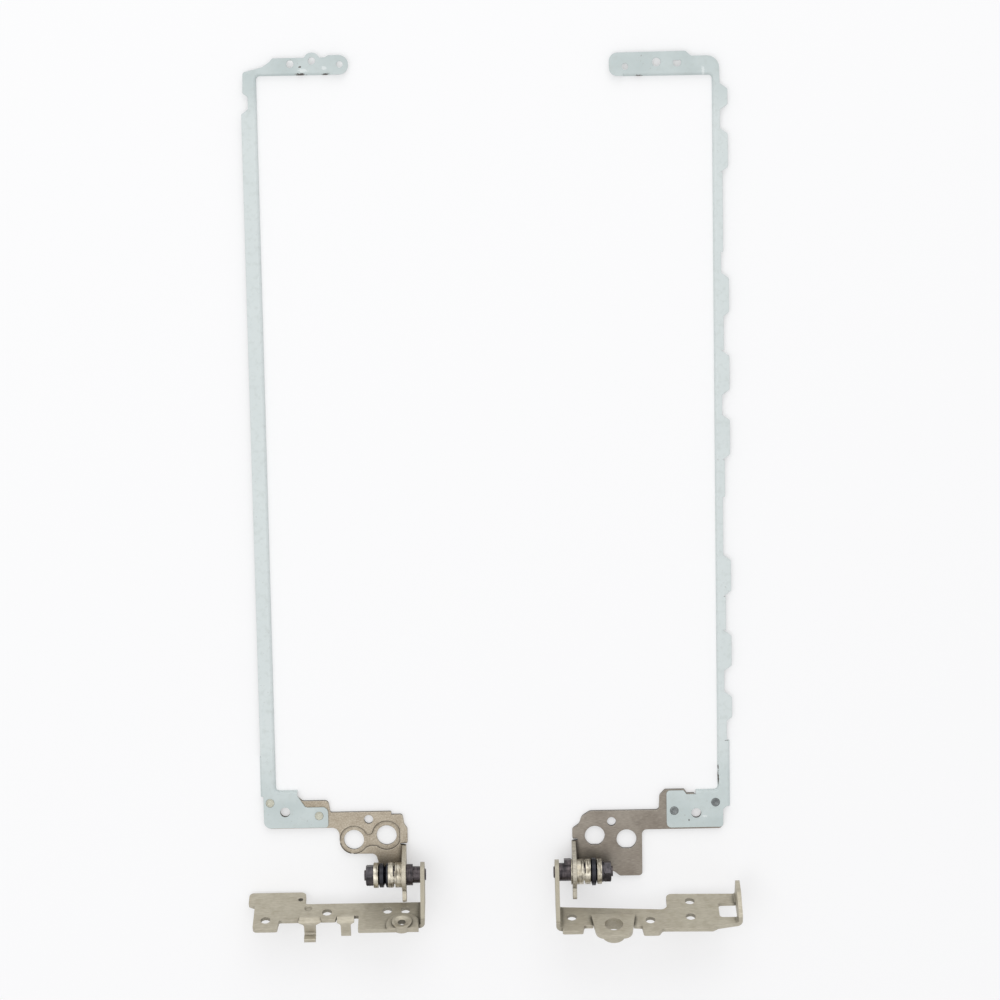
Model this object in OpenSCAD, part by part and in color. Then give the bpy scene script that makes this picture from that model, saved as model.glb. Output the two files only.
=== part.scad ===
// Pair of laptop hinges with screen rails, lying on their backs.
// Each hinge is drawn in its own frame: X points inwards from the inner edge of its rail,
// Y runs up the rail from the shaft axis, and Z rises from the surface it lies on.
// The base brackets have a second frame: the shaft axis is the origin, Y runs forwards
// along the base plate, and Z points from the shaft towards the plate.

/* [Pair] */
// Distance between the inner edges of the two rails
rail_gap = 128; // [120:1:150]
// Height of the shaft axis above the backs of the lid brackets
axis_z = 7.2; // [7:0.1:8.5]
// Angle between the rails and the base plates
open_angle = 115; // [105:1:120]
// Distance along the rail from the foot screw hole to the ear screw hole
hole_span = 213.8; // [200:0.2:230]

/* [Sheet metal] */
// Thickness of the painted rail sheet
rail_t = 0.5; // [0.4:0.05:0.7]
// Thickness of the plated lid brackets
lid_t = 1.2; // [1:0.1:1.4]
// Thickness of the plated base brackets
base_t = 1.2; // [1:0.1:1.4]
// Inside radius of the bends in the brackets
bend_r = 0.6; // [0.4:0.1:0.8]
// Outside radius of the bend of the rail's lip
lip_r = 0.8; // [0.7:0.05:0.9]
// Corner radius where the lip turns from the rail into the ear and the foot
lip_turn_r = 1; // [0.8:0.1:1.5]
// Distance from the shaft axis to the top face of the base plates
base_drop = 8.4; // [8.2:0.1:9]

/* [Rails] */
// Width of the left rail
left_rail_w = 4.2; // [3.6:0.1:5]
// Width of the right rail between its clip tabs
right_rail_w = 2.1; // [1.9:0.1:2.4]
// Extra width of the right rail beside some of its tabs
right_step_w = 0.6; // [0.3:0.1:0.8]
// Distance from the inner edge to the outer end of the clip tabs
clip_reach = 4.25; // [3.8:0.05:4.6]
// Length of the ear of the left rail
left_ear_l = 26; // [25:0.5:30]
// Length of the ear of the right rail
right_ear_l = 28.9; // [27:0.1:32]
// Diameter of the foot screw holes
foot_hole_d = 2.9; // [2.2:0.1:3.2]
// Diameter of the ear screw holes
ear_hole_d = 2.1; // [1.6:0.1:2.4]

/* [Lid brackets] */
// Outer face of the left lid ear, from the rail's inner edge
left_ear_x = 37.5; // [36.5:0.5:39]
// Outer face of the right lid ear, from the rail's inner edge
right_ear_x = 42.6; // [41.6:0.5:44]
// Diameter of the large holes
big_hole_d = 5.8; // [5:0.1:6.2]
// Diameter of the small locating holes
pilot_d = 2.6; // [2:0.1:2.8]
// Radius of the round head of the lid ears
lid_head_r = 4.5; // [4.3:0.1:4.8]
// Length of the tail of the left lid ear, from the shaft axis
left_tail_l = 7.8; // [6.5:0.1:7.9]
// Length of the tail of the right lid ear, from the shaft axis
right_tail_l = 7.9; // [6.5:0.1:8]
// Width of the tails
tail_w = 3; // [2.5:0.1:3.4]
// Radius of the rivets' shanks
rivet_r = 0.9; // [0.8:0.05:1]
// Radius of the rivets' heads
rivet_head_r = 1.25; // [1.15:0.05:1.4]

/* [Base brackets] */
// Outer face of the left base ear, from the rail's inner edge
left_base_x = 42.8; // [42:0.1:44]
// Outer face of the right base ear, from the rail's inner edge
right_base_x = 47.7; // [47:0.1:49]
// Radius of the round head of the base ears
base_head_r = 3.6; // [3.3:0.1:3.9]
// Diameter of the screw holes in the base plates
base_hole_d = 2.8; // [2.2:0.1:3]
// How far the bent feet reach below the plate's top face
foot_drop = 6.2; // [5:0.1:7]
// Bore of the screw boss in the right base bracket
boss_bore_d = 5.2; // [4.6:0.1:5.4]
// How far that boss reaches below its pad
boss_depth = 4.2; // [3:0.1:5]
// How far the raised pads stand above the plate
pad_rise = 1; // [0.8:0.1:1.1]
// Height of the turned-up end of the right base plate
end_ear_h = 5.4; // [4.5:0.1:6]

/* [Shaft and stack] */
// Diameter of the shaft where it turns in the lid ear
shaft_d = 4.8; // [4.4:0.1:5]
// Width across the two flats that hold the turning washers
shaft_flat = 3.8; // [3.5:0.1:4]
// Radial clearance of the shaft in the lid ear
run_gap = 0.05; // [0.03:0.01:0.08]
// Clearance of keyed and pressed pieces on the shaft
key_gap = 0.02; // [0.01:0.01:0.05]
// Diameter of the washers and cams
washer_d = 7.25; // [7:0.05:7.6]
// Diameter of the disc springs of the left hinge
left_spring_d = 7.1; // [6.8:0.1:7.6]
// Diameter of the disc springs of the right hinge
right_spring_d = 8; // [7.2:0.1:8.4]
// Thickness of the cam fixed to the lid ear
fixed_cam_t = 1.9; // [1.6:0.1:2.1]
// Thickness of the cam that turns with the shaft
moving_cam_t = 1.4; // [1.2:0.1:1.6]
// Height of the lobes between the cams
lobe_h = 0.3; // [0.2:0.05:0.35]
// Thickness of a disc spring's steel
spring_t = 0.5; // [0.4:0.05:0.55]
// Height of one disc spring
spring_h = 0.95; // [0.85:0.05:1.05]
// Thickness of the pressure washers
pressure_t = 1.3; // [1.1:0.1:1.5]
// Width of the nuts across flats
nut_w = 5.5; // [5:0.1:6]
// Thickness of the nuts
nut_t = 2.2; // [2:0.1:2.4]
// Diameter of the shaft's thread
thread_d = 3; // [2.6:0.1:3]

/* [Hidden] */
$fn = 48;

paint = [0.79, 0.84, 0.82];
nickel = [0.71, 0.67, 0.59];
dark_nickel = [0.58, 0.54, 0.49];
bronze = [0.25, 0.21, 0.18];
black = [0.07, 0.07, 0.09];

// Levels of the rail's sheet, which lies on the lid bracket
rail_z = lid_t;
top_z = lid_t + rail_t;
// Width of the flat strip that joins a lip to the sheet, and how far the two overlap
lip_land = lip_r + 0.3;
lip_in = lip_r + 0.15;
cut = 1;

// Foot screw holes, as [x, y], and the line of the ear holes above each
left_foot = [2.6, 17.6];
right_foot = [6.3, 15.3];
left_ear_y = left_foot.y + hole_span;
right_ear_y = right_foot.y + hole_span;

// Edges of the left foot and ear
left_foot_low = 12.9;
left_foot_end = 15;
left_foot_top = 23.8;
left_foot_out = -3.6;
left_ear_low = left_ear_y - 3.1;
left_ear_top = left_ear_y + 1.7;
left_lip_end = left_ear_l - 5.2;
left_step_y = 34;
left_hem_low = 22.3;
left_hem_x = -left_rail_w - 0.2;
left_lobe_r = 2.3;
lobe_rise = 0.8;

// Edges of the right foot and ear
right_foot_low = 11.1;
right_foot_end = 14.9;
right_foot_top = 22;
right_foot_out = -1.5;
right_ear_low = right_ear_y - 2.6;
right_ear_top = right_ear_y + 4.1;
right_lip_end = right_ear_l - 3.9;
right_step_y = 36.4;
right_hem_low = 17.2;
right_hem_x = -3.5;

// Clip tabs of the right rail: place along the hole span, and width
clip_tabs = [[0.959, 4.4], [0.889, 9.3], [0.699, 9.7], [0.596, 9.6],
             [0.51, 9.8], [0.324, 8.9], [0.222, 8.7], [0.145, 5.9]];
// Wider stretches of the right rail: middle along the hole span, and length
wide_runs = [[0.808, 22.3], [0.649, 9.6], [0.455, 10.6], [0.273, 9.6], [0.113, 5.6]];
tab_slope = 1.5;

// Rivets, as [x, y]
left_rivets = [[-1.7, 20.4], [12.4, 16.4]];
right_rivets = [[0.7, 18.4], [12.7, 16.1]];

// Bends between each lid plate and its ear, along Y
left_bend = [-1, 7.4];
right_bend = [-1.6, 7.8];
relief = 0.4;
bend_out = bend_r + lid_t;
base_bend_out = bend_r + base_t;

// Large holes, pilot holes and embossed rims of the lid plates
left_holes = [[22.3, 9], [31.8, 10.2]];
left_pilot = [26.7, 15];
left_rims = [4.15, 4.3];
rim_depth = 0.25;
right_holes = [[26.6, 7.8], [35.8, 9]];
right_pilot = [30.9, 13.1];
flat_share = 0.93;

// Base plates: front and rear edges, forwards from the shaft axis
left_base_rear = 2.3;
left_base_front = 13.8;
left_block_rear = -2.9;
left_block_out = -8.4;
left_tab_edge = 9.4;
right_base_rear = 5.6;
right_base_front = 16;
right_end_rear = 1;

// Screw holes of the base plates, as [x, y]
left_base_holes = [[14.5, 6], [31.9, 5.6], [37.1, 5.7], [-3, 9]];
left_corner_hole = [6.6, 0.3];
corner_hole_d = 1.4;
right_base_holes = [[43.1, 10], [20.7, 11.8], [8.9, 3.9], [9.1, 10.6]];
left_dimple = [9, 4.1];
dimple_d = 2.4;
dimple_depth = 0.4;

// Bent feet of the left base bracket: middle of each, root and strip widths
left_tabs = [[9.6, 6.6, 3.3], [19.9, 5, 2.8]];
hook_step = 5;
hook_reach = 2.5;
foot_round = 0.3;

// Raised ring of the left base bracket
ring_at = [36.2, 11.4];
ring_r = 2.9;
ring_pad_r = 4.9;
ring_pad_at = [36.6, 12.3];
ring_rise = 0.45;
ring_hole_d = 2.2;

// Raised pad of the right base bracket: middle, half widths, rear and front edges,
// and how deep its sheet still laps the plate round it
pad_lap = 0.2;
pad_x = 31.3;
pad_half = [6.35, 4.9];
pad_ends = [10, 19.3];
boss_at = [pad_x, 14.4];
boss_wall = 0.7;

// Slot beside the turned-up end of the right base plate
end_in_x = -4.3;
slot_x = 0.8;
slot_y = [4.9, 11.1];

// Shafts: staked head, neck in the base ear, collars and their lug
head_d = 3.7;
head_h = 0.4;
neck_d = 3.2;
left_collar_d = 6.1;
left_collar_l = 1.8;
right_collar_d = 5.2;
stop_washer_t = 0.3;
lock_washer_t = 0.5;
stack_gap = 0.01;
turn_gap = 0.1;
stub_l = 0.5;
lug_l = 2;
lug_r = 3.75;
lug_w = 2.2;
lug_angle = 65;

// Drive tabs that hold the fixed cams in slots of the lid ears
drive_w = 1.5;
drive_r = 3.05;
drive_t = 0.5;
drive_gap = 0.04;

// Places along X of the inner faces of the lid ears
left_inner = left_ear_x - lid_t;
right_inner = right_ear_x - lid_t;
// Depth of the stack from the lid ear to the far face of each piece
fixed_depth = fixed_cam_t + lobe_h;
moving_at = fixed_depth + run_gap + lobe_h;
springs_at = moving_at + moving_cam_t + stack_gap;
spring_pitch = spring_h + stack_gap;
left_pressure_at = springs_at + 3 * spring_pitch;
right_pressure_at = springs_at + 2 * spring_pitch;
left_nut_at = left_pressure_at + pressure_t + stack_gap;
right_lock_at = right_pressure_at + pressure_t + stack_gap;
right_nut_at = right_lock_at + lock_washer_t + stack_gap;

// Whole pair: extent along X and Y, which puts the origin below its middle
lowest_y = -(base_drop + foot_drop - foot_round) * sin(open_angle)
         + (left_tab_edge + hook_reach - foot_round) * cos(open_angle) - foot_round;
highest_y = left_ear_y + lobe_rise + left_lobe_r;
left_most = -rail_gap / 2 + left_block_out;
right_most = rail_gap / 2 - end_in_x + base_t;
mid_x = (left_most + right_most) / 2;
mid_y = (lowest_y + highest_y) / 2;

// Points of one rounded corner at b, on the way from a to c
function unit(v) = v / norm(v);
function wrap(t) = t > 180 ? t - 360 : t < -180 ? t + 360 : t;
function arc(m, r, from, turn) =
    let (n = max(2, ceil(abs(turn) / 15)))
    [for (i = [0:n]) m + r * [cos(from + turn * i / n), sin(from + turn * i / n)]];
function corner(a, b, c, r) =
    let (u = unit(a - b), v = unit(c - b), half = acos(u * v) / 2,
         m = b + unit(u + v) * r / sin(half),
         p = b + u * r / tan(half) - m, q = b + v * r / tan(half) - m,
         from = atan2(p.y, p.x))
    arc(m, r, from, wrap(atan2(q.y, q.x) - from));
// Outline through [x, y, radius] points, with each corner rounded by its radius
function xy(p) = [p.x, p.y];
function rounded(path) =
    let (n = len(path))
    [for (i = [0:n - 1])
        each (path[i].z > 0
            ? corner(xy(path[(i + n - 1) % n]), xy(path[i]), xy(path[(i + 1) % n]), path[i].z)
            : [xy(path[i])])];

// A flat sheet of thickness t from level z, with the outline of its children
module sheet(z, t) {
    translate([0, 0, z])
        linear_extrude(t) children();
}

// A profile in Y and Z, extruded along X
module along_x(x, l) {
    translate([x, 0, 0])
        rotate([90, 0, 90])
            linear_extrude(l) children();
}

// A profile in X and Z, extruded along Y
module along_y(y, l) {
    translate([0, y + l, 0])
        rotate([90, 0, 0])
            linear_extrude(l) children();
}

// Straight drill through a sheet at p
module drill(p, d, z, t) {
    translate([p.x, p.y, z - cut])
        cylinder(d = d, h = t + 2 * cut);
}

// Places of the two hinges, and of the parts that turn with the base bracket
module left_side() {
    translate([-rail_gap / 2 - mid_x, -mid_y, 0]) children();
}

module right_side() {
    translate([rail_gap / 2 - mid_x, -mid_y, 0])
        mirror([1, 0, 0]) children();
}

module on_axis() {
    translate([0, 0, axis_z]) children();
}

module in_base() {
    on_axis() rotate([open_angle, 0, 0]) children();
}

// Section of the rail's folded lip, into the sheet from its edge
lip_section = rounded([[0, 0, 0], [0, top_z, lip_r], [lip_land, top_z, 0],
                       [lip_land, rail_z, 0], [rail_t, rail_z, lip_r - rail_t], [rail_t, 0, 0]]);

// Lip along +Y, with its sheet on the -X side
module lip(l) {
    along_y(0, l)
        polygon([for (p = lip_section) [-p.x, p.y]]);
}

// Quarter turn of the lip round an inside corner
module lip_turn() {
    rotate_extrude(angle = 90)
        polygon([for (p = lip_section) [lip_turn_r + p.x, p.y]]);
}

// Lip round the inside of a rail: across the foot, up the rail and along the ear
module lip_round(foot_top, foot_l, ear_low, ear_l) {
    translate([foot_l, foot_top, 0])
        rotate([0, 0, 90]) lip(foot_l - lip_turn_r);
    translate([lip_turn_r, foot_top + lip_turn_r, 0])
        rotate([0, 0, 180]) lip_turn();
    translate([0, foot_top + lip_turn_r, 0])
        lip(ear_low - foot_top - 2 * lip_turn_r);
    translate([lip_turn_r, ear_low - lip_turn_r, 0])
        rotate([0, 0, 90]) lip_turn();
    translate([lip_turn_r, ear_low, 0])
        rotate([0, 0, -90]) lip(ear_l - lip_turn_r);
}

// Countersunk seat for a rivet's head in the rail's sheet
module rivet_seat(p, gap) {
    translate([p.x, p.y, rail_z])
        cylinder(r1 = rivet_r + gap, r2 = rivet_head_r + gap, h = rail_t);
}

module rivet(p) {
    color(nickel) {
        rivet_seat(p, 0);
        translate([p.x, p.y, 0.05])
            cylinder(r = rivet_r, h = rail_z);
        translate([p.x, p.y, top_z])
            cylinder(r1 = rivet_head_r, r2 = rivet_head_r - 0.3, h = 0.12);
    }
}

left_rail_outline = rounded([
    [left_foot_out, left_foot_low, 2],
    [left_foot_end, left_foot_low, 0.9],
    [left_foot_end, left_foot_low + 6, 1.6],
    [8.5, left_foot_low + 6, 1.2],
    [6.2, left_foot_top - 1.4, 0.3],
    [6.2, left_foot_top - lip_in, 0],
    [-lip_in, left_foot_top - lip_in, lip_turn_r + lip_in],
    [-lip_in, left_ear_low + lip_in, lip_turn_r + lip_in],
    [left_lip_end, left_ear_low + lip_in, 0],
    [left_lip_end, left_ear_low, 0],
    [left_ear_l, left_ear_low, 2.6],
    [left_ear_l, left_ear_top + 0.6, 2.6],
    [left_ear_l - 5.6, left_ear_top + 0.6, 0.8],
    [left_ear_l - 6.4, left_ear_top, 0.8],
    [4.8, left_ear_top, 0.4],
    [4, left_ear_top - 1, 0.6],
    [1.9, left_ear_top - 2.4, 0.6],
    [-left_rail_w + 0.6, left_ear_top - 3.8, 0.8],
    [-left_rail_w + 0.4, left_ear_top - 9.6, 0.7],
    [-left_rail_w + 1.85, left_ear_top - 10.6, 0.8],
    [-left_rail_w + 1.85, left_ear_top - 14, 1],
    [-left_rail_w - 0.1, left_ear_top - 15.4, 0.5],
    [-left_rail_w + 0.1, left_step_y, 0],
    [left_hem_x + lip_in, left_step_y, 0],
    [left_hem_x + lip_in, left_hem_low, 0],
    [left_foot_out, left_hem_low, 0]]);

left_ear_holes = [[9.7, left_ear_y, ear_hole_d], [15.8, left_ear_y + lobe_rise, ear_hole_d - 0.1],
                  [left_ear_l - 2.4, left_ear_y - 0.3, ear_hole_d - 0.3]];

module left_rail() {
    color(paint)
        difference() {
            union() {
                sheet(rail_z, rail_t) polygon(left_rail_outline);
                lip_round(left_foot_top, 6.2, left_ear_low, left_lip_end);
                translate([left_hem_x, left_step_y, 0])
                    rotate([0, 0, 180]) lip(left_step_y - left_hem_low);
                translate([left_ear_holes[1].x, left_ear_holes[1].y, rail_z])
                    cylinder(r = left_lobe_r, h = rail_t);
            }
            drill(left_foot, foot_hole_d, rail_z, rail_t);
            for (p = left_ear_holes)
                drill(p, p.z, rail_z, rail_t);
            for (p = left_rivets)
                rivet_seat(p, key_gap);
        }
}

right_rail_outline = rounded([
    [right_foot_out, right_foot_low, 1],
    [right_foot_end, right_foot_low, 1.4],
    [right_foot_end, right_foot_top, 1],
    [9.9, right_foot_top, 0.4],
    [9.1, right_foot_top - 1.15, 0.4],
    [6.4, right_foot_top - 1.15, 0],
    [6.4, right_foot_top - lip_in, 0],
    [-lip_in, right_foot_top - lip_in, lip_turn_r + lip_in],
    [-lip_in, right_ear_low + lip_in, lip_turn_r + lip_in],
    [right_lip_end, right_ear_low + lip_in, 0],
    [right_lip_end, right_ear_low, 0],
    [right_ear_l, right_ear_low, 2.3],
    [right_ear_l, right_ear_top - 0.2, 2.3],
    [7.4, right_ear_top, 1.2],
    [6, right_ear_top - 1.4, 1.2],
    [-right_rail_w + 0.2, right_ear_top - 1.4, 3.4],
    [-right_rail_w, right_ear_low - 4, 0],
    [-right_rail_w, right_step_y, 0],
    [right_hem_x + lip_in, right_step_y, 0],
    [right_hem_x + lip_in, right_hem_low, 0],
    [right_foot_out, right_hem_low - 0.9, 0]]);

function along(share) = right_foot.y + share * hole_span;
function clip_outline(c, w) = rounded([
    [-right_rail_w + 0.5, c - w / 2 - tab_slope - 0.5, 0],
    [-right_rail_w + 0.5, c + w / 2 + tab_slope + 0.5, 0],
    [-right_rail_w, c + w / 2 + tab_slope, 0.6],
    [-clip_reach, c + w / 2, 0.7],
    [-clip_reach, c - w / 2, 0.7],
    [-right_rail_w, c - w / 2 - tab_slope, 0.6]]);

right_ear_holes = [[right_ear_l - 4.5, right_ear_y, ear_hole_d - 0.3],
                   [15.6, right_ear_y + 1.1, ear_hole_d + 0.3],
                   [9.8, right_ear_y + 0.9, ear_hole_d + 0.2]];

module right_rail() {
    color(paint)
        difference() {
            union() {
                sheet(rail_z, rail_t) {
                    polygon(right_rail_outline);
                    for (tab = clip_tabs)
                        polygon(clip_outline(along(tab.x), tab.y));
                    for (run = wide_runs)
                        translate([-right_rail_w - right_step_w, along(run.x) - run.y / 2])
                            square([right_step_w + 0.5, run.y]);
                }
                lip_round(right_foot_top, 6.4, right_ear_low, right_lip_end);
                translate([right_hem_x, right_step_y, 0])
                    rotate([0, 0, 180]) lip(right_step_y - right_hem_low);
            }
            drill(right_foot, foot_hole_d, rail_z, rail_t);
            drill(right_ear_holes[0], right_ear_holes[0].z, rail_z, rail_t);
            drill(right_ear_holes[1], right_ear_holes[1].z, rail_z, rail_t);
            intersection() {
                drill(right_ear_holes[2], right_ear_holes[2].z, rail_z, rail_t);
                translate([right_ear_holes[2].x - 2, right_ear_holes[2].y - 2, 0])
                    cube([4, 2.6, top_z + cut]);
            }
            for (p = right_rivets)
                rivet_seat(p, key_gap);
        }
}

// Outline of a lid ear in Y and Z: round head, root over the bend, and tail
module lid_ear_outline(bend, tail_l) {
    hull() {
        translate([0, axis_z]) circle(lid_head_r);
        translate([bend[0], bend_out]) square([bend[1] - bend[0], 0.5]);
    }
    translate([0, axis_z])
        polygon(rounded([[0, -tail_w / 2, 0], [0, tail_w / 2, 0],
                         [-tail_l, tail_w / 2, 0.8], [-tail_l, -tail_w / 2, 0.8]]));
}

// Lid ear with its bend, outer face at x, bored for the shaft and slotted for the cam
module lid_ear(x, bend, tail_l) {
    difference() {
        union() {
            along_x(x - lid_t, lid_t) lid_ear_outline(bend, tail_l);
            along_y(bend[0], bend[1] - bend[0])
                polygon(rounded([[x - bend_out - cut, 0, 0], [x, 0, bend_out],
                                 [x, bend_out + 0.3, 0], [x - lid_t, bend_out + 0.3, 0],
                                 [x - lid_t, lid_t, bend_r], [x - bend_out - cut, lid_t, 0]]));
        }
        translate([x - lid_t - cut, 0, axis_z])
            rotate([0, 90, 0]) cylinder(d = shaft_d + 2 * run_gap, h = lid_t + 2 * cut);
        for (side = [-1, 1])
            translate([x - lid_t / 2, side * (drive_r + drive_t / 2), axis_z])
                cube([lid_t + 2 * cut, drive_t + 2 * drive_gap, drive_w + 2 * drive_gap], center = true);
    }
}

left_lid_outline = rounded([
    [-3, left_foot_low - 0.2, 1.6],
    [18.15, left_foot_low - 0.2, 2.2],
    [18.15, 4.85, 4],
    [28.6, 4.85, 1.6],
    [29.2, 2.5, 1],
    [29.2, left_bend[0], 0.8],
    [left_ear_x - bend_out, left_bend[0], 0],
    [left_ear_x - bend_out, left_bend[1] + relief, 0],
    [left_ear_x + 0.35, left_bend[1] + relief, 0.4],
    [left_ear_x + 0.35, 12, 0.8],
    [left_ear_x - 0.6, 13.6, 0.6],
    [left_ear_x - 1, 16.3, 0.8],
    [33.3, 16.3, 0],
    [33.3, 17.2, 0.3],
    [15.6, 17.2, 0.6],
    [15.1, 20.7, 1.2],
    [7.6, 20.7, 1.2],
    [5.6, left_foot_top - 1.3, 0.4],
    [-3, left_foot_top - 1.3, 1.4]]);

module left_lid_bracket() {
    color(nickel)
        difference() {
            union() {
                sheet(0, lid_t) polygon(left_lid_outline);
                lid_ear(left_ear_x, left_bend, left_tail_l);
            }
            // Pressed-down area round the two large holes
            intersection() {
                sheet(lid_t - rim_depth, cut) {
                    for (i = [0, 1])
                        translate(left_holes[i]) circle(left_rims[i]);
                    polygon(rounded([[20.5, 11.8, 0.8], [27, 10.5, 1], [29.5, 13.3, 0.5],
                                     [31, 7, 0.5], [27, 7.2, 1], [22.5, 5.2, 0.5]]));
                }
                sheet(0, lid_t + cut)
                    translate([0, -cut]) square([left_ear_x - bend_out, 40]);
            }
            for (p = left_holes)
                drill(p, big_hole_d, 0, lid_t);
            drill(left_pilot, pilot_d, 0, lid_t);
            drill(left_foot, foot_hole_d, 0, lid_t);
            for (p = left_rivets)
                drill(p, 2 * (rivet_r + key_gap), 0, lid_t);
        }
}

right_lid_outline = rounded([
    [-1.2, right_foot_low - 0.5, 1],
    [22.1, right_foot_low - 0.5, 1.4],
    [22.1, -3, 1],
    [28.6, -3, 0.9],
    [30.4, right_bend[0], 0.9],
    [right_ear_x - bend_out, right_bend[0], 0],
    [right_ear_x - bend_out, right_bend[1] + relief, 0],
    [right_ear_x - 0.3, right_bend[1] + relief, 0.4],
    [right_ear_x - 0.3, 11.2, 0.9],
    [right_ear_x - 2.3, 12.6, 1],
    [right_ear_x - 3.1, 14.8, 1.4],
    [right_ear_x - 5.4, 16.3, 2],
    [17.1, 16.3, 0.9],
    [16.9, 20.6, 1.2],
    [15.4, right_foot_top + 0.25, 0.7],
    [9.7, right_foot_top + 0.25, 0.3],
    [9, right_foot_top - 0.9, 0.3],
    [6.9, right_foot_top - 0.9, 0.2],
    [6.6, right_foot_top - 1.4, 0.2],
    [-1.2, right_foot_top - 1.4, 1]]);

// A large hole with a flat on its lower side
module flat_hole(p) {
    intersection() {
        drill(p, big_hole_d, 0, lid_t);
        translate([p.x - big_hole_d, p.y - big_hole_d / 2 * flat_share, -2 * cut])
            cube([2 * big_hole_d, 2 * big_hole_d, lid_t + 4 * cut]);
    }
}

module right_lid_bracket() {
    color(dark_nickel)
        difference() {
            union() {
                sheet(0, lid_t) polygon(right_lid_outline);
                lid_ear(right_ear_x, right_bend, right_tail_l);
            }
            for (p = right_holes)
                flat_hole(p);
            drill(right_pilot, pilot_d, 0, lid_t);
            drill(right_foot, foot_hole_d, 0, lid_t);
            for (p = right_rivets)
                drill(p, 2 * (rivet_r + key_gap), 0, lid_t);
        }
}

// Base ear in the base frame: outer face at x, root from y0 to y1 along the plate
module base_ear(x, y0, y1) {
    difference() {
        union() {
            along_x(x - base_t, base_t)
                hull() {
                    circle(base_head_r);
                    translate([y0, base_drop - bend_r - 0.5]) square([y1 - y0, 0.5]);
                }
            along_y(y0, y1 - y0)
                polygon(rounded([[x - base_bend_out - cut, base_drop, 0],
                                 [x - base_t, base_drop, bend_r],
                                 [x - base_t, base_drop - base_bend_out, 0],
                                 [x, base_drop - base_bend_out, 0],
                                 [x, base_drop + base_t, base_bend_out],
                                 [x - base_bend_out - cut, base_drop + base_t, 0]]));
        }
        translate([x - base_t - cut, 0, 0])
            rotate([0, 90, 0]) cylinder(d = neck_d + 2 * key_gap, h = base_t + 2 * cut);
    }
}

// Foot bent down from the plate's front edge: tab is [middle, root width, strip width],
// and the side view is its section along the base plate
module bent_foot(tab, side_view) {
    flare = 1.8;
    intersection() {
        along_x(tab.x - tab.y / 2, tab.y) polygon(side_view);
        along_y(0, left_tab_edge + hook_reach + cut)
            polygon(rounded([[tab.x - tab.y / 2 - cut, base_drop - cut, 0],
                             [tab.x + tab.y / 2 + cut, base_drop - cut, 0],
                             [tab.x + tab.y / 2 + cut, base_drop + 0.6, 0],
                             [tab.x + tab.z / 2, base_drop + flare, 1],
                             [tab.x + tab.z / 2, base_drop + foot_drop + cut, 0],
                             [tab.x - tab.z / 2, base_drop + foot_drop + cut, 0],
                             [tab.x - tab.z / 2, base_drop + flare, 1],
                             [tab.x - tab.y / 2 - cut, base_drop + 0.6, 0]]));
    }
}

foot_root = left_tab_edge - base_bend_out - 1.2;
straight_foot = rounded([
    [foot_root, base_drop, 0],
    [left_tab_edge, base_drop, base_bend_out],
    [left_tab_edge, base_drop + foot_drop, foot_round],
    [left_tab_edge - base_t, base_drop + foot_drop, foot_round],
    [left_tab_edge - base_t, base_drop + base_t, bend_r],
    [foot_root, base_drop + base_t, 0]]);
hook_foot = rounded([
    [foot_root, base_drop, 0],
    [left_tab_edge, base_drop, base_bend_out],
    [left_tab_edge, base_drop + hook_step, bend_r],
    [left_tab_edge + hook_reach, base_drop + hook_step, foot_round],
    [left_tab_edge + hook_reach, base_drop + foot_drop, foot_round],
    [left_tab_edge - base_t, base_drop + foot_drop, base_bend_out],
    [left_tab_edge - base_t, base_drop + base_t, bend_r],
    [foot_root, base_drop + base_t, 0]]);

left_base_outline = rounded([
    [left_block_out, left_block_rear, 1.3],
    [8.1, left_block_rear, 1.5],
    [8.1, left_base_rear, 0.8],
    [left_base_x - base_bend_out, left_base_rear, 0],
    [left_base_x - base_bend_out, left_base_front, 0],
    [23.7, left_base_front, 0.5],
    [23.7, left_tab_edge - 1.8, 0.5],
    [17.4, left_tab_edge - 1.8, 0.6],
    [17.1, left_tab_edge - 0.3, 0.4],
    [12.9, left_tab_edge - 0.3, 0.4],
    [12.6, left_tab_edge - 1.8, 0.6],
    [6.6, left_tab_edge - 1.8, 0.6],
    [6.3, left_tab_edge - 0.3, 0.4],
    [0.9, left_tab_edge - 0.3, 0.5],
    [0.5, left_base_front - 0.9, 0.5],
    [-6.5, left_base_front - 0.9, 1.2],
    [-6.5, left_base_rear + 0.5, 0.5],
    [left_block_out, left_base_rear - 0.5, 0.6]]);

module left_base_bracket() {
    color(nickel)
        difference() {
            union() {
                sheet(base_drop, base_t) polygon(left_base_outline);
                base_ear(left_base_x, left_base_rear, left_base_front - 1.6);
                bent_foot(left_tabs[0], hook_foot);
                bent_foot(left_tabs[1], straight_foot);
                // Raised pad with its ring, near the ear
                intersection() {
                    translate([ring_pad_at.x, ring_pad_at.y, base_drop - ring_rise])
                        cylinder(r = ring_pad_r, h = ring_rise + base_t);
                    sheet(base_drop - cut, base_t + 2 * cut)
                        square([left_base_x - base_bend_out, left_base_front]);
                }
                translate([ring_at.x, ring_at.y, base_drop - 2 * ring_rise])
                    cylinder(r = ring_r, h = 2 * ring_rise + base_t);
            }
            for (p = left_base_holes)
                drill(p, base_hole_d, base_drop, base_t);
            drill(left_corner_hole, corner_hole_d, base_drop, base_t);
            drill(ring_at, ring_hole_d, base_drop - 2 * ring_rise, base_t + 2 * ring_rise);
            translate([ring_at.x, ring_at.y, base_drop - 2 * ring_rise - 0.01])
                cylinder(r1 = ring_r - 0.6, r2 = ring_hole_d / 2, h = ring_rise);
            translate([left_dimple.x, left_dimple.y, base_drop - 0.01])
                cylinder(d1 = dimple_d, d2 = dimple_d - 0.8, h = dimple_depth);
        }
}

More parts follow.
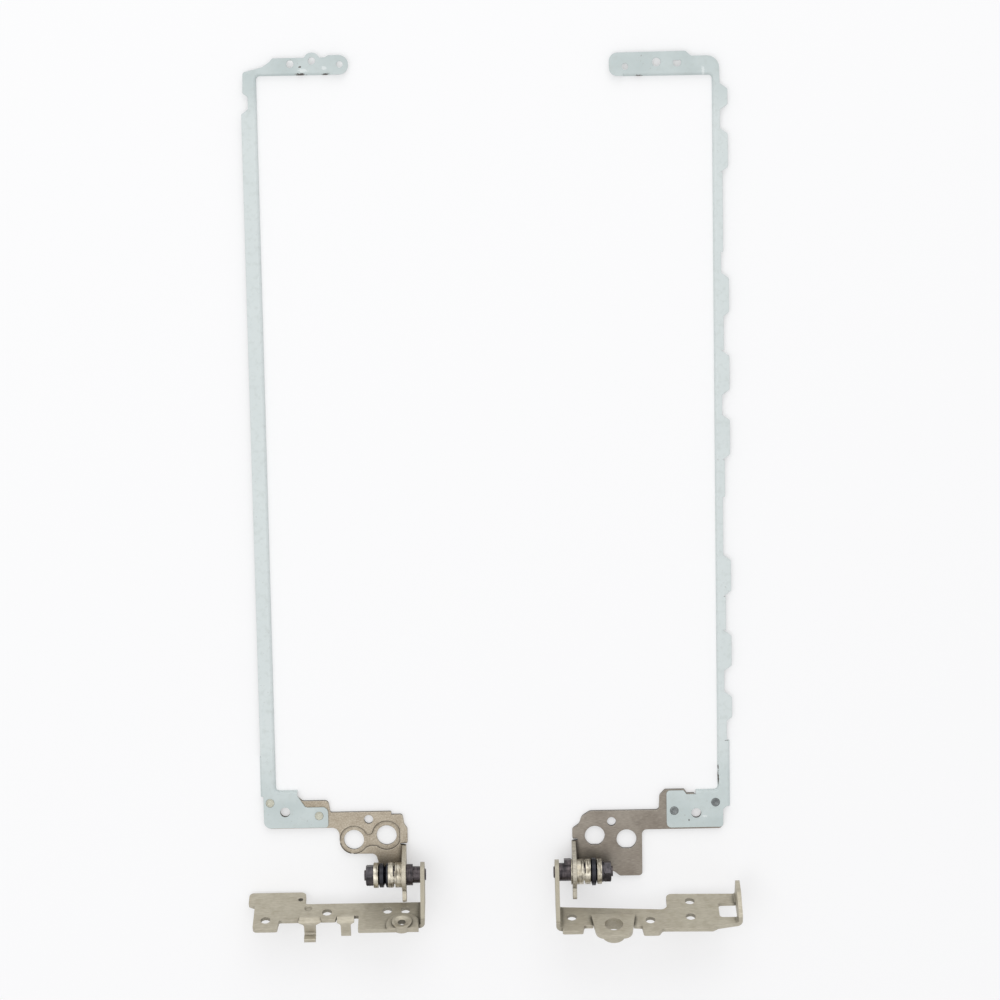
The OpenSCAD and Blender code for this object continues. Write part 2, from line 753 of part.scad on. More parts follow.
right_base_outline = rounded([
    [end_in_x + bend_r, right_end_rear, 0],
    [15.6, right_end_rear - 0.4, 1.6],
    [15.6, right_base_rear + 1.8, 1.8],
    [right_base_x - base_bend_out, right_base_rear, 0],
    [right_base_x - base_bend_out, right_base_front, 0.6],
    [40.1, right_base_front, 0.5],
    [39.6, right_base_front - 2.4, 0.3],
    [pad_x + 3, right_base_front - 2.4, 0],
    [pad_x - 3, right_base_front - 2.4, 0],
    [23.2, right_base_front - 1.8, 0.3],
    [22.8, right_base_front + 1.2, 0.6],
    [18.4, right_base_front + 1.2, 0.8],
    [17.4, right_base_front - 0.5, 0.8],
    [3, right_base_front - 0.2, 0.8],
    [1.5, right_base_front - 1.2, 0.6],
    [end_in_x + bend_r, right_base_front - 2.2, 0]]);

pad_outline = rounded([
    [pad_x - pad_half[0], pad_ends[0], 0.3],
    [pad_x + pad_half[0], pad_ends[0], 0.3],
    [pad_x + pad_half[1], pad_ends[1], 2.6],
    [pad_x - pad_half[1], pad_ends[1], 2.6]]);

module right_base_bracket() {
    end_front = right_base_front - 2.2;
    color(nickel)
        difference() {
            union() {
                sheet(base_drop, base_t)
                    difference() {
                        polygon(right_base_outline);
                        polygon(pad_outline);
                    }
                sheet(base_drop - pad_rise, pad_rise + pad_lap) polygon(pad_outline);
                base_ear(right_base_x, right_base_rear, right_base_front - 1.4);
                translate([boss_at.x, boss_at.y, base_drop - pad_rise])
                    cylinder(d = boss_bore_d + 2 * boss_wall, h = boss_depth);
                // Turned-up end
                along_y(right_end_rear, end_front - right_end_rear)
                    polygon(rounded([[end_in_x + bend_r + cut, base_drop, 0],
                                     [end_in_x + bend_r + cut, base_drop + base_t, 0],
                                     [end_in_x - base_t, base_drop + base_t, base_bend_out],
                                     [end_in_x - base_t, base_drop - base_bend_out, 0],
                                     [end_in_x, base_drop - base_bend_out, 0],
                                     [end_in_x, base_drop, bend_r]]));
                along_x(end_in_x - base_t, base_t)
                    polygon(rounded([[right_end_rear, base_drop - bend_r, 0],
                                     [right_end_rear, base_drop - end_ear_h, 0.8],
                                     [right_end_rear + 5.5, base_drop - end_ear_h, 1.5],
                                     [end_front, base_drop - 2.4, 1.5],
                                     [end_front, base_drop - bend_r, 0]]));
            }
            for (p = right_base_holes)
                drill(p, base_hole_d, base_drop, base_t);
            drill(boss_at, boss_bore_d, base_drop - pad_rise, boss_depth);
            // Slot that runs up to the turned-up end
            sheet(base_drop - cut, base_t + 2 * cut)
                polygon(rounded([[end_in_x + 0.02, slot_y[0], 0], [slot_x, slot_y[0], 1],
                                 [slot_x, slot_y[1], 1], [end_in_x + 0.02, slot_y[1], 0]]));
        }
}

// Cylinder of diameter d along X, from x0 to x1
module rod(x0, x1, d) {
    translate([x0, 0, 0])
        rotate([0, 90, 0]) cylinder(d = d, h = x1 - x0);
}

// Part of the shaft with two flats, from x0 to x1
module flatted(x0, x1) {
    intersection() {
        rod(x0, x1, shaft_d);
        translate([x0 - cut, -shaft_flat / 2, -shaft_d])
            cube([x1 - x0 + 2 * cut, shaft_flat, 2 * shaft_d]);
    }
}

// Shaft from the staked head outside the base ear to the thread beyond the nut
module shaft(base_x, ear_x, collar_d, collar_end, nut_at) {
    color(bronze) {
        translate([base_x, 0, 0])
            rotate([0, 90, 0]) cylinder(d1 = head_d, d2 = head_d - 0.7, h = head_h);
        rod(base_x - base_t, base_x, neck_d);
        rod(collar_end, base_x - base_t, shaft_d);
        rod(ear_x + turn_gap, collar_end, collar_d);
        rod(ear_x - lid_t - run_gap, ear_x + turn_gap, shaft_d);
        flatted(ear_x - lid_t - nut_at, ear_x - lid_t - run_gap);
        rod(ear_x - lid_t - nut_at - nut_t - stub_l, ear_x - lid_t - nut_at, thread_d);
    }
}

module left_shaft() {
    shaft(left_base_x, left_ear_x, left_collar_d, left_ear_x + turn_gap + left_collar_l, left_nut_at);
}

module right_shaft() {
    collar_x = right_ear_x + turn_gap + stop_washer_t + stack_gap;
    shaft(right_base_x, right_ear_x, shaft_d, collar_x, right_nut_at);
    color(bronze)
        rotate([lug_angle, 0, 0]) {
            rod(collar_x, right_base_x - base_t, right_collar_d);
            translate([collar_x, -lug_r, -lug_w / 2])
                cube([lug_l, lug_r - shaft_d / 4, lug_w]);
        }
}

// Hole with two flats for a piece that turns with the shaft
module keyed_hole(t) {
    d = shaft_d + 2 * key_gap;
    translate([-cut, 0, 0])
        intersection() {
            rod(0, t + 2 * cut, d);
            translate([-cut, -shaft_flat / 2 - key_gap, -d])
                cube([t + 4 * cut, shaft_flat + 2 * key_gap, 2 * d]);
        }
}

module keyed_washer(x, t, d, c) {
    color(c)
        translate([x, 0, 0])
            difference() {
                rod(0, t, d);
                keyed_hole(t);
            }
}

// Ring with a round bore for a round part of the shaft
module ring_washer(x, t, d, bore) {
    color(nickel)
        difference() {
            rod(x, x + t, d);
            rod(x - cut, x + t + cut, bore);
        }
}

// Two opposite lobes on a cam's face, at quarter turns from the given angle
module lobes(from) {
    inner = shaft_d / 2 + 0.3;
    outer = washer_d / 2 - 0.1;
    for (side = [0, 180])
        rotate([side + from, 0, 0])
            along_x(0, lobe_h + 0.1)
                polygon(concat(arc([0, 0], outer, -32, 64), arc([0, 0], inner, 32, -64)));
}

// Cam held by the lid ear, whose inner face is at x
module fixed_cam(x) {
    color(nickel)
        difference() {
            union() {
                rod(x - fixed_cam_t, x, washer_d);
                translate([x - fixed_cam_t - lobe_h, 0, 0]) lobes(90);
                for (side = [-1, 1])
                    translate([x + lid_t / 2 - 0.1, side * (drive_r + drive_t / 2), 0])
                        cube([lid_t + 0.2, drive_t, drive_w], center = true);
            }
            rod(x - fixed_depth - cut, x + lid_t + cut, shaft_d + 2 * run_gap);
        }
}

// Cam that turns with the shaft, measured from the lid ear's inner face at x
module moving_cam(x) {
    color(nickel)
        difference() {
            union() {
                rod(x - moving_at - moving_cam_t, x - moving_at, washer_d);
                translate([x - moving_at - 0.1, 0, 0]) lobes(0);
            }
            translate([x - moving_at - moving_cam_t, 0, 0])
                keyed_hole(moving_cam_t + lobe_h);
        }
}

// Conical disc spring with its low face at x; dir 1 opens towards +X
module disc_spring(x, d, dir) {
    cone = spring_h - spring_t;
    inner = shaft_d / 2 + key_gap;
    outer = d / 2;
    section = dir > 0
        ? [[inner, 0], [outer, cone], [outer, spring_h], [inner, spring_t]]
        : [[inner, cone], [outer, 0], [outer, spring_t], [inner, spring_h]];
    color(black)
        translate([x, 0, 0])
            rotate([0, 90, 0])
                rotate_extrude() polygon(section);
}

// Hexagon nut with rounded corners at both faces, low face at x
module nut(x) {
    across = nut_w / cos(30);
    slope = (across - nut_w) / 2 * tan(30);
    color(bronze)
        translate([x, 0, 0])
            rotate([0, 90, 0])
                difference() {
                    intersection() {
                        cylinder(d = across, h = nut_t, $fn = 6);
                        rotate_extrude()
                            polygon([[0, 0], [nut_w / 2, 0], [across / 2 + 0.01, slope],
                                     [across / 2 + 0.01, nut_t - slope], [nut_w / 2, nut_t], [0, nut_t]]);
                    }
                    translate([0, 0, -cut])
                        cylinder(d = thread_d + 2 * key_gap, h = nut_t + 2 * cut);
                }
}

left_side() left_rail();
left_side() left_lid_bracket();
left_side() rivet(left_rivets[0]);  // left_upper_rivet
left_side() rivet(left_rivets[1]);  // left_lower_rivet
left_side() in_base() left_base_bracket();
left_side() in_base() left_shaft();
left_side() on_axis() fixed_cam(left_inner);  // left_fixed_cam
left_side() in_base() moving_cam(left_inner);  // left_moving_cam
left_side() in_base() disc_spring(left_inner - springs_at - spring_h, left_spring_d, 1);  // left_inner_spring
left_side() in_base() disc_spring(left_inner - springs_at - spring_pitch - spring_h, left_spring_d, -1);  // left_middle_spring
left_side() in_base() disc_spring(left_inner - springs_at - 2 * spring_pitch - spring_h, left_spring_d, 1);  // left_outer_spring
left_side() in_base() keyed_washer(left_inner - left_pressure_at - pressure_t, pressure_t, washer_d, nickel);  // left_pressure_washer
left_side() in_base() nut(left_inner - left_nut_at - nut_t);  // left_nut
right_side() right_rail();
right_side() right_lid_bracket();
right_side() rivet(right_rivets[0]);  // right_upper_rivet
right_side() rivet(right_rivets[1]);  // right_lower_rivet
right_side() in_base() right_base_bracket();
right_side() in_base() right_shaft();
right_side() in_base()  // right_stop_washer
        ring_washer(right_ear_x + turn_gap, stop_washer_t, washer_d, shaft_d + 2 * key_gap);
right_side() on_axis() fixed_cam(right_inner);  // right_fixed_cam
right_side() in_base() moving_cam(right_inner);  // right_moving_cam
right_side() in_base() disc_spring(right_inner - springs_at - spring_h, right_spring_d, -1);  // right_inner_spring
right_side() in_base() disc_spring(right_inner - springs_at - spring_pitch - spring_h, right_spring_d, 1);  // right_outer_spring
right_side() in_base() keyed_washer(right_inner - right_pressure_at - pressure_t, pressure_t, washer_d, nickel);  // right_pressure_washer
right_side() in_base() keyed_washer(right_inner - right_lock_at - lock_washer_t, lock_washer_t, nut_w + 0.6, bronze);  // right_lock_washer
right_side() in_base() nut(right_inner - right_nut_at - nut_t);  // right_nut
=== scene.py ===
import math

import bmesh
import bpy
from mathutils import Matrix, Vector


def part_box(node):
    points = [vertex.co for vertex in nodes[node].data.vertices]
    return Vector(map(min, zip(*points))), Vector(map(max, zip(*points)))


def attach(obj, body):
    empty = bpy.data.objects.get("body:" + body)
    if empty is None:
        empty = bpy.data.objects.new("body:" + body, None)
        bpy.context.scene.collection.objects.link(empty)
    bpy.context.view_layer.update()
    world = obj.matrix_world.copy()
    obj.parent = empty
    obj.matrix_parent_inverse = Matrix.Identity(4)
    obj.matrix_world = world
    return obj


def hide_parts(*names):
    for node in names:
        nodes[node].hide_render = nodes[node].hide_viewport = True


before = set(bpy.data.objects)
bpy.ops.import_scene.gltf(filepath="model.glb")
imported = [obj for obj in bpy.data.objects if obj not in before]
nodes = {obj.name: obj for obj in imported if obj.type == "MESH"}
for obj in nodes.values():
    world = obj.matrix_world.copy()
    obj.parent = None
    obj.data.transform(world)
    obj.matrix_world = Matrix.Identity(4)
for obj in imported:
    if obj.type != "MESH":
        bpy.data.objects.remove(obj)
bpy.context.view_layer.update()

# Viewpoint. A long lens looks down on the pair from above the middle of the rails,
# leans back a little towards their ears and is held slightly off level.
MM = 0.001
stand = Vector((3.873, 76.167, 697.273)) * MM
aim = Vector((3.873, -0.647, 1.5)) * MM
back = (stand - aim).normalized()
across = Vector((0, 1, 0)).cross(back).normalized()
level = Matrix((across, back.cross(across), back)).transposed().to_4x4()
off_level = Matrix.Rotation(math.radians(-1.02), 4, "Z")
lens = bpy.data.cameras.new("camera")
lens.sensor_width = 36
lens.lens = 88.2
lens.clip_start = 0.01
camera = bpy.data.objects.new("camera", lens)
camera.matrix_world = Matrix.Translation(stand) @ level @ off_level
bpy.context.scene.collection.objects.link(camera)
bpy.context.scene.camera = camera


# Screen rails. Each is a strip of 0.5 mm steel, punched and folded, then painted a pale
# blue grey after forming. The paint is thin and satin, is knocked off where the ears and the
# foot have been levered out, and carries painted shade in its corners and holes.
def linear(r, g, b):
    """A colour given from 0 to 255, as the shader's own values."""
    return tuple(((c / 255 + 0.055) / 1.055) ** 2.4 for c in (r, g, b)) + (1,)


def lighter(colour, by):
    """The shader's values for a colour that is made lighter by so many levels."""
    return linear(*(min(255, c + by) for c in colour))


def darker(colour, share):
    """The shader's values for a colour that keeps only a share of its light."""
    return linear(*(c * share for c in colour))


def new_finish(name):
    """An empty metal or paint finish: its material, node tree and surface shader."""
    finish = bpy.data.materials.new(name)
    finish.use_nodes = True
    return finish, finish.node_tree, finish.node_tree.nodes["Principled BSDF"]


def add_node(tree, kind, inputs=None, **settings):
    """A node whose inputs are given as values or as the sockets that feed them."""
    node = tree.nodes.new(kind)
    for key, value in settings.items():
        setattr(node, key, value)
    for key, value in (inputs or {}).items():
        if isinstance(value, bpy.types.NodeSocket):
            tree.links.new(value, node.inputs[key])
        else:
            node.inputs[key].default_value = value
    return node


def grain(tree, size, detail=3, stretch=(1, 1, 1)):
    """Soft noise whose features are about size millimetres wide, from 0 to 1."""
    place = add_node(tree, "ShaderNodeTexCoord").outputs["Object"]
    spread = add_node(tree, "ShaderNodeMapping", {"Vector": place, "Scale": stretch}).outputs["Vector"]
    per_metre = 1 / (size * MM)
    return add_node(tree, "ShaderNodeTexNoise",
                    {"Vector": spread, "Scale": per_metre, "Detail": detail}).outputs["Fac"]


def steps(tree, value, low, high):
    """Value turned into 0 at low and 1 at high, whichever of them is the larger."""
    return add_node(tree, "ShaderNodeMapRange",
                    {"Value": value, "From Min": low, "From Max": high}).outputs["Result"]


def blotches(tree, size, low, high, detail=3, stretch=(1, 1, 1)):
    """Patches of grain, bare where it is below low and full where it is above high."""
    return steps(tree, grain(tree, size, detail, stretch), low, high)


def along(tree, axis, kind="Object"):
    """How far a point lies along axis, or how much its normal points along it."""
    here = add_node(tree, "ShaderNodeTexCoord").outputs[kind]
    return add_node(tree, "ShaderNodeSeparateXYZ", {"Vector": here}).outputs[axis]


def fade(tree, axis, start, whole):
    """A mask that grows from start to whole, two places along axis in millimetres."""
    return steps(tree, along(tree, axis), start * MM, whole * MM)


def both(tree, a, b, operation="MULTIPLY"):
    """Two masks multiplied, or joined by another operation."""
    return add_node(tree, "ShaderNodeMath", {0: a, 1: b}, operation=operation).outputs["Value"]


def tint(tree, under, over, mask, share=1):
    """Colour under, with colour over laid on it where the mask is, by share at most."""
    layer = add_node(tree, "ShaderNodeMix", data_type="RGBA")
    tree.links.new(both(tree, mask, share), layer.inputs["Factor"])
    for socket, colour in ((layer.inputs[6], under), (layer.inputs[7], over)):
        if isinstance(colour, bpy.types.NodeSocket):
            tree.links.new(colour, socket)
        else:
            socket.default_value = colour
    return layer.outputs[2]


def soft_edges(tree, width):
    """Normals rounded over the edges, and how close to an edge each point lies."""
    rounded = add_node(tree, "ShaderNodeBevel", {"Radius": width * MM}, samples=6).outputs["Normal"]
    flat = add_node(tree, "ShaderNodeNewGeometry").outputs["Normal"]
    match = add_node(tree, "ShaderNodeVectorMath", {0: rounded, 1: flat}, operation="DOT_PRODUCT")
    return rounded, steps(tree, match.outputs["Value"], 0.999, 0.9)


def corners(tree, reach, open_above=0.92, closed_below=0.5):
    """How far a point lies inside a hole or corner of its own piece, within reach mm."""
    sky = add_node(tree, "ShaderNodeAmbientOcclusion", {"Distance": reach * MM},
                   samples=8, only_local=True).outputs["AO"]
    return steps(tree, sky, open_above, closed_below)


def mark(tree, place, size):
    """A ragged spot round place, with its half sizes in millimetres."""
    scale = [1 / (half * MM) for half in size]
    shift = [-at * MM * by for at, by in zip(place, scale)]
    here = add_node(tree, "ShaderNodeTexCoord").outputs["Object"]
    near = add_node(tree, "ShaderNodeMapping", {"Vector": here, "Location": shift, "Scale": scale})
    far = add_node(tree, "ShaderNodeVectorMath", {0: near.outputs["Vector"]}, operation="LENGTH")
    uneven = both(tree, grain(tree, 0.4, 4), 2.2)
    ragged = both(tree, far.outputs["Value"], uneven, "ADD")
    return steps(tree, ragged, 2.1, 1.8)


def roughen(tree, shader, rounded, height, depth):
    """Relief of depth millimetres on top of the rounded normals."""
    relief = add_node(tree, "ShaderNodeBump",
                      {"Height": height, "Distance": depth * MM, "Normal": rounded})
    tree.links.new(relief.outputs["Normal"], shader.inputs["Normal"])


def gloss(tree, shader, value, smoothest, roughest):
    """Roughness that follows value between two limits."""
    rough = add_node(tree, "ShaderNodeMapRange",
                     {"Value": value, "To Min": smoothest, "To Max": roughest})
    tree.links.new(rough.outputs["Result"], shader.inputs["Roughness"])


def dress(finish, slot, *names):
    """Gives CAD nodes a finish; the slot is not used."""
    for name in names:
        nodes[name].data.materials.clear()
        nodes[name].data.materials.append(finish)


# Where the paint is rubbed pale and where it is chipped: centres and half sizes in mm
rubbed_spots = (
    ((-49.2, 121.4, 1.5), (1.5, 0.6, 3)),
    ((-43.3, 122, 1.5), (0.7, 0.6, 3)),
    ((62.9, 119.4, 1.5), (0.5, 1.5, 3)),
    ((60.9, -97.5, 1), (3.4, 0.2, 3)),
    ((61.7, -93.8, 1), (0.8, 0.35, 3)))
chipped_spots = (
    ((-50, 120.3, 1), (1.5, 0.4, 3)),
    ((-43, 120.3, 1), (0.9, 0.35, 3)),
    ((-50.1, 122.4, 1.5), (0.4, 0.3, 3)),
    ((44.9, 118.2, 1), (1.2, 0.4, 3)),
    ((57, -94.9, 1), (0.3, 0.3, 3)),
    ((65.6, -82.6, 1), (0.22, 2.1, 3)),
    ((65.6, -79.4, 1), (0.2, 0.7, 3)))

paint, tree, shader = new_finish("rail_paint")
rounded, edge = soft_edges(tree, 0.2)
thin = linear(185, 196, 195)
full = linear(194, 204, 203)
coat = tint(tree, thin, full, blotches(tree, 7, 0.35, 0.65))
# Painted highlight: the long middle of each rail is painted lighter, as it catches more light.
strip = both(tree, fade(tree, "Y", -88, -70), fade(tree, "Y", 120, 108))
coat = tint(tree, coat, linear(213, 220, 219), strip, 0.7)
handled = blotches(tree, 1.4, 0.5, 0.72, 5)
coat = tint(tree, coat, linear(180, 188, 184), handled, 0.35)
# Painted highlight: the paint is lighter along its edges.
coat = tint(tree, coat, linear(218, 224, 223), edge, 0.45)
# Painted shade: the rail's own corners and hole walls are darkened towards grey.
coat = tint(tree, coat, linear(104, 112, 112), corners(tree, 1.3, 0.85, 0.4), 0.75)
dirt = both(tree, blotches(tree, 0.5, 0.7, 0.74, 2), blotches(tree, 6, 0.52, 0.62))
coat = tint(tree, coat, linear(128, 120, 108), dirt, 0.6)
for place, size in rubbed_spots:
    coat = tint(tree, coat, linear(226, 231, 230), mark(tree, place, size), 0.6)
chip = both(tree, edge, blotches(tree, 0.9, 0.66, 0.7, 4))
for place, size in chipped_spots:
    chip = both(tree, chip, mark(tree, place, size), "MAXIMUM")
coat = tint(tree, coat, linear(88, 84, 80), chip)
tree.links.new(coat, shader.inputs["Base Color"])
tree.links.new(both(tree, chip, 0.6), shader.inputs["Metallic"])
shader.inputs["Roughness"].default_value = 0.44
roughen(tree, shader, rounded, grain(tree, 0.35, 4), 0.02)
dress(paint, "rail_paint", "left_rail", "right_rail")


# Lid brackets. Pressed from 1.2 mm steel and plated with nickel. The plating is satin and
# warm, with a fine mottled grain and cloudy stains. Its edges are lighter, partly rubbed and
# partly a painted highlight; walls facing along Y are dark, partly bare sheared steel and partly
# painted shade; the ear that stands up has a painted highlight and the corners painted shade.
def plating(name, light, dark, stain, smooth, lines=(1, 1, 1), metallic=0.7, sheared_and_shaded=0, wear_and_glint=0.6,
            corner_shade=0.7):
    """Nickel plating: two tones, stains and a grain along lines, with lighter streaks in the grain
    that are partly painted sheen. Its edges are lighter, partly worn and partly a painted highlight.
    Where it is sheared, the walls facing along Y are darkened, partly bare sheared steel and partly
    painted shade, and the ear that stands up gets a painted highlight. The last two arguments set
    how light the edges are and how dark the painted shade in its corners and hollows is."""
    finish, tree, shader = new_finish(name)
    rounded, edge = soft_edges(tree, 0.28 if sheared_and_shaded else 0.18)
    stained = linear(*stain)
    tone = tint(tree, linear(*dark), linear(*light), blotches(tree, 9, 0.35, 0.65, 4))
    tone = tint(tree, tone, stained, blotches(tree, 2.5, 0.5, 0.72, 6), 0.4)
    rolled = grain(tree, 0.4, 5, lines)
    tone = tint(tree, tone, stained, steps(tree, rolled, 0.45, 0.7), 0.4)
    # Lighter streaks along the grain: partly grain, partly painted sheen.
    tone = tint(tree, tone, lighter(light, 20), steps(tree, rolled, 0.5, 0.3), 0.35)
    if sheared_and_shaded:
        # Walls facing along Y are darkened: partly bare sheared steel, partly painted shade.
        upright = both(tree, along(tree, "Y", "Normal"), 0, "ABSOLUTE")
        wall = both(tree, steps(tree, upright, 0.6, 0.85), fade(tree, "Z", 1.6, 1.3))
        tone = tint(tree, tone, darker(stain, 0.5), wall, sheared_and_shaded)
        # Painted highlight: the ear that stands up is painted lighter.
        ear = both(tree, fade(tree, "Z", 1.4, 2.4), steps(tree, rolled, 0.25, 0.6))
        tone = tint(tree, tone, linear(200, 195, 178), ear, 0.75)
    # Painted shade: the piece's corners and hollows are darkened.
    corner = corners(tree, 1.1, 0.985, 0.75)
    hollow = corners(tree, 3.5, 0.76, 0.5)
    tone = tint(tree, tone, darker(stain, 0.5), corner, corner_shade)
    tone = tint(tree, tone, darker(stain, 0.45), hollow, 0.75)
    # Edges lighter: partly rubbed plating, partly a painted highlight.
    rubbed_and_glint = both(tree, edge, steps(tree, corner, 0.45, 0.1))
    tone = tint(tree, tone, lighter(light, 44), rubbed_and_glint, wear_and_glint)
    tree.links.new(tone, shader.inputs["Base Color"])
    shader.inputs["Metallic"].default_value = metallic
    gloss(tree, shader, rolled, smooth - 0.06, smooth + 0.08)
    roughen(tree, shader, rounded, grain(tree, 0.3, 5, lines), 0.014)
    return finish


lid_plating = plating("lid_plating", (166, 157, 141), (149, 139, 123), (119, 106, 88), 0.44,
                      sheared_and_shaded=0.7)
dark_plating = plating("dark_lid_plating", (136, 129, 119), (120, 112, 102), (97, 89, 80), 0.42,
                       lines=(0.3, 3, 1), sheared_and_shaded=0.5)
dress(lid_plating, "plate_nickel", "left_lid_bracket")
dress(dark_plating, "dark_plate_nickel", "right_lid_bracket")


# Base brackets. Pressed from 1.2 mm steel like the lid's, and plated in the same warm
# nickel, but cleaner, with the grain of the sheet running along them. The ears that hold
# the shafts, which are the parts nearest to the other hinge, are painted darker as painted shade.
base_plating = plating("base_plating", (187, 181, 164), (177, 170, 153), (148, 139, 119), 0.44,
                       lines=(0.25, 2.5, 2.5), metallic=0.45, wear_and_glint=0.05, corner_shade=0.45)
tree = base_plating.node_tree
colour = tree.nodes["Principled BSDF"].inputs["Base Color"]
# Painted shade: the parts nearest to the other hinge, with the shaft ears, are painted darker.
ears = both(tree, fade(tree, "X", -21, -20.9), fade(tree, "X", 19, 18.9))
tone = tint(tree, colour.links[0].from_socket, linear(160, 154, 137), ears, 0.8)
tree.links.new(tone, colour)
dress(base_plating, "base_nickel", "left_base_bracket", "right_base_bracket")


# Rivets that hold each rail to its bracket. The left pair is struck flat and keeps the
# plate's pale nickel; the right pair has dark, dished heads.
def turned(name, profile, centre, finish):
    """A round piece standing at centre, turned from (radius, height) in millimetres."""
    turns = 48
    mesh = bmesh.new()
    rings = []
    angles = [2 * math.pi * i / turns for i in range(turns)]
    for radius, height in profile:
        if radius == 0:
            rings.append([mesh.verts.new(centre + Vector((0, 0, height * MM)))])
            continue
        rings.append([
            mesh.verts.new(centre + Vector((radius * math.cos(a), radius * math.sin(a), height)) * MM)
            for a in angles])
    for low, high in zip(rings, rings[1:]):
        for i in range(turns):
            j = (i + 1) % turns
            face = [low[i % len(low)], low[j % len(low)], high[j % len(high)], high[i % len(high)]]
            mesh.faces.new(list(dict.fromkeys(face)))
    bmesh.ops.recalc_face_normals(mesh, faces=mesh.faces)
    data = bpy.data.meshes.new(name)
    mesh.to_mesh(data)
    mesh.free()
    data.shade_smooth()
    data.materials.append(finish)
    piece = bpy.data.objects.new(name, data)
    bpy.context.scene.collection.objects.link(piece)
    return piece


pale_rivet = plating("pale_rivet", (181, 181, 168), (170, 170, 156), (146, 142, 126), 0.46, wear_and_glint=0.3)
dark_rivet = plating("dark_rivet", (128, 132, 132), (104, 108, 108), (78, 80, 80), 0.46)
shank = [(0, 0), (0.86, 0), (0.9, 0.05), (0.9, 1.15)]
struck = shank + [(1.24, 1.64), (1.22, 1.71), (1.1, 1.745), (0.95, 1.74), (0.88, 1.71), (0.5, 1.715),
                  (0, 1.72)]
dished = shank + [(1.24, 1.64), (1.22, 1.72), (1.08, 1.77), (0.9, 1.78), (0.78, 1.74), (0.55, 1.66),
                  (0.28, 1.62), (0, 1.61)]
for node, profile, finish, slot in (
        ("left_upper_rivet", struck, pale_rivet, "rivet_steel"),
        ("left_lower_rivet", struck, pale_rivet, "rivet_steel"),
        ("right_upper_rivet", dished, dark_rivet, "dark_rivet_steel"),
        ("right_lower_rivet", dished, dark_rivet, "dark_rivet_steel")):
    low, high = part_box(node)
    centre = Vector(((low.x + high.x) / 2, (low.y + high.y) / 2, low.z))
    head = turned(node + "_head", profile, centre, finish)
    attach(head, "root")
    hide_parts(node)


# Friction stack. Hardened cams and washers, plated in silvery nickel, with turning lines
# and dark grease worked into them; black disc springs between them press the cams together.
def greased(name, light, dark, grease, share, smooth, metallic=0.75):
    """A plated, turned and greased piece: share is how much of it the grease stains."""
    finish, tree, shader = new_finish(name)
    rounded, edge = soft_edges(tree, 0.12)
    oily = linear(*grease)
    round_about = (1, 0.08, 0.08)
    tone = tint(tree, linear(*dark), linear(*light), blotches(tree, 1.6, 0.35, 0.65, 4))
    lines = blotches(tree, 0.32, 0.57 - share * 0.08, 0.66, 2, round_about)
    tone = tint(tree, tone, oily, lines, 0.75)
    smears = blotches(tree, 0.9, 0.66 - share * 0.2, 0.8 - share * 0.2, 5, (1, 0.5, 0.5))
    film = both(tree, smears, 0.6)
    tone = tint(tree, tone, oily, film)
    # Painted highlight: the edges are painted lighter.
    tone = tint(tree, tone, lighter(light, 30), edge, 0.5)
    # The piece's own corners and grooves are darkened.
    tone = tint(tree, tone, darker(grease, 0.5), corners(tree, 0.8), 0.8)
    tree.links.new(tone, shader.inputs["Base Color"])
    shader.inputs["Metallic"].default_value = metallic
    gloss(tree, shader, film, smooth, smooth + 0.15)
    roughen(tree, shader, rounded, grain(tree, 0.3, 3, round_about), 0.03)
    return finish


washer_plating = greased("washer_plating", (208, 202, 186), (168, 160, 142), (62, 55, 46), 0.8, 0.3)
dress(washer_plating, "washer_nickel", "left_fixed_cam", "right_fixed_cam", "left_moving_cam",
      "right_moving_cam", "left_pressure_washer", "right_pressure_washer", "right_stop_washer")
spring_oxide = greased("spring_oxide", (34, 35, 44), (20, 20, 26), (12, 12, 15), 0.2, 0.28, 0.4)
dress(spring_oxide, "spring_steel", "left_inner_spring", "left_middle_spring", "left_outer_spring",
      "right_inner_spring", "right_outer_spring")


# Shafts and nuts. Turned from steel and blackened, with a brown and violet cast where the
# oxide is thin, and a little oil on them.
shaft_black = greased("shaft_black", (86, 78, 79), (50, 45, 48), (28, 25, 27), 0.4, 0.28, 0.6)
dress(shaft_black, "shaft_steel", "left_shaft", "right_shaft")
nut_black = greased("nut_black", (80, 76, 79), (48, 46, 49), (26, 25, 27), 0.4, 0.3, 0.6)
dress(nut_black, "nut_steel", "left_nut", "right_nut", "right_lock_washer")


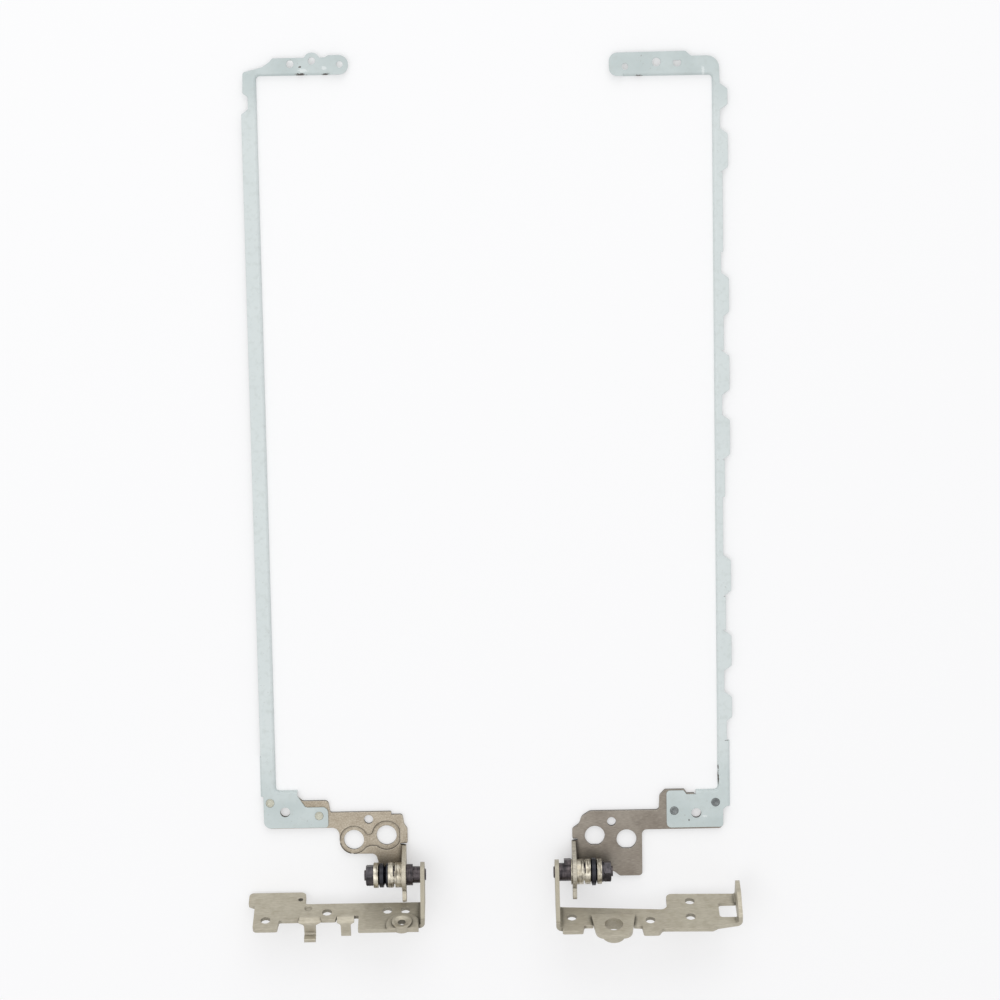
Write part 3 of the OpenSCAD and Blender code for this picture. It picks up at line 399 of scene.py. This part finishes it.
# Floor and lamps. A plain white table in a white tent, with two broad, weak lamps above
# that leave a soft shadow under the parts. The table looks a little brighter than it is
# lit, and the tent looks brighter than the light it gives.
floor_mesh = bpy.data.meshes.new("floor")
reach = 2.5
rim = [(-reach, -reach, 0), (reach, -reach, 0), (reach, reach, 0), (-reach, reach, 0)]
floor_mesh.from_pydata(rim, [], [(0, 1, 2, 3)])
floor = bpy.data.objects.new("floor", floor_mesh)
bpy.context.scene.collection.objects.link(floor)
table, tree, shader = new_finish("white_table")
shader.inputs["Base Color"].default_value = (0.94, 0.94, 0.94, 1)
shader.inputs["Roughness"].default_value = 0.9
shader.inputs["Specular IOR Level"].default_value = 0
bright = add_node(tree, "ShaderNodeEmission", {"Color": (0.955, 0.955, 0.96, 1)})
eye = add_node(tree, "ShaderNodeLightPath").outputs["Is Camera Ray"]
lit = add_node(tree, "ShaderNodeMixShader",
               {"Fac": both(tree, eye, 0.4), 1: shader.outputs["BSDF"], 2: bright.outputs["Emission"]})
tree.links.new(lit.outputs["Shader"], tree.nodes["Material Output"].inputs["Surface"])
floor_mesh.materials.append(table)

room = bpy.data.worlds.new("room")
bpy.context.scene.world = room
room.use_nodes = True
tree = room.node_tree
light = tree.nodes["Background"]
light.inputs["Color"].default_value = (0.985, 0.985, 1, 1)
given = 0.7
mirrored = 0.95
seen = 0.95
ray = add_node(tree, "ShaderNodeLightPath").outputs
direct = both(tree, ray["Is Camera Ray"], ray["Is Transmission Ray"], "MAXIMUM")
bounced = add_node(tree, "ShaderNodeMix", {"Factor": ray["Is Glossy Ray"], "A": given, "B": mirrored})
strength = add_node(tree, "ShaderNodeMix",
                    {"Factor": direct, "A": bounced.outputs["Result"], "B": seen})
tree.links.new(strength.outputs["Result"], light.inputs["Strength"])

middle = Vector((0, -0.03, 0))
for name, place, size, power in (("broad_lamp", (-0.25, -0.15, 1.1), 1, 3.8),
                                 ("back_lamp", (0.1, 1, 0.7), 0.9, 3.5)):
    glow = bpy.data.lights.new(name, "AREA")
    glow.size = size
    glow.energy = power
    lamp = bpy.data.objects.new(name, glow)
    lamp.location = place
    lamp.rotation_euler = (middle - Vector(place)).to_track_quat("-Z", "Y").to_euler()
    bpy.context.scene.collection.objects.link(lamp)

bpy.context.scene.view_settings.view_transform = "Standard"
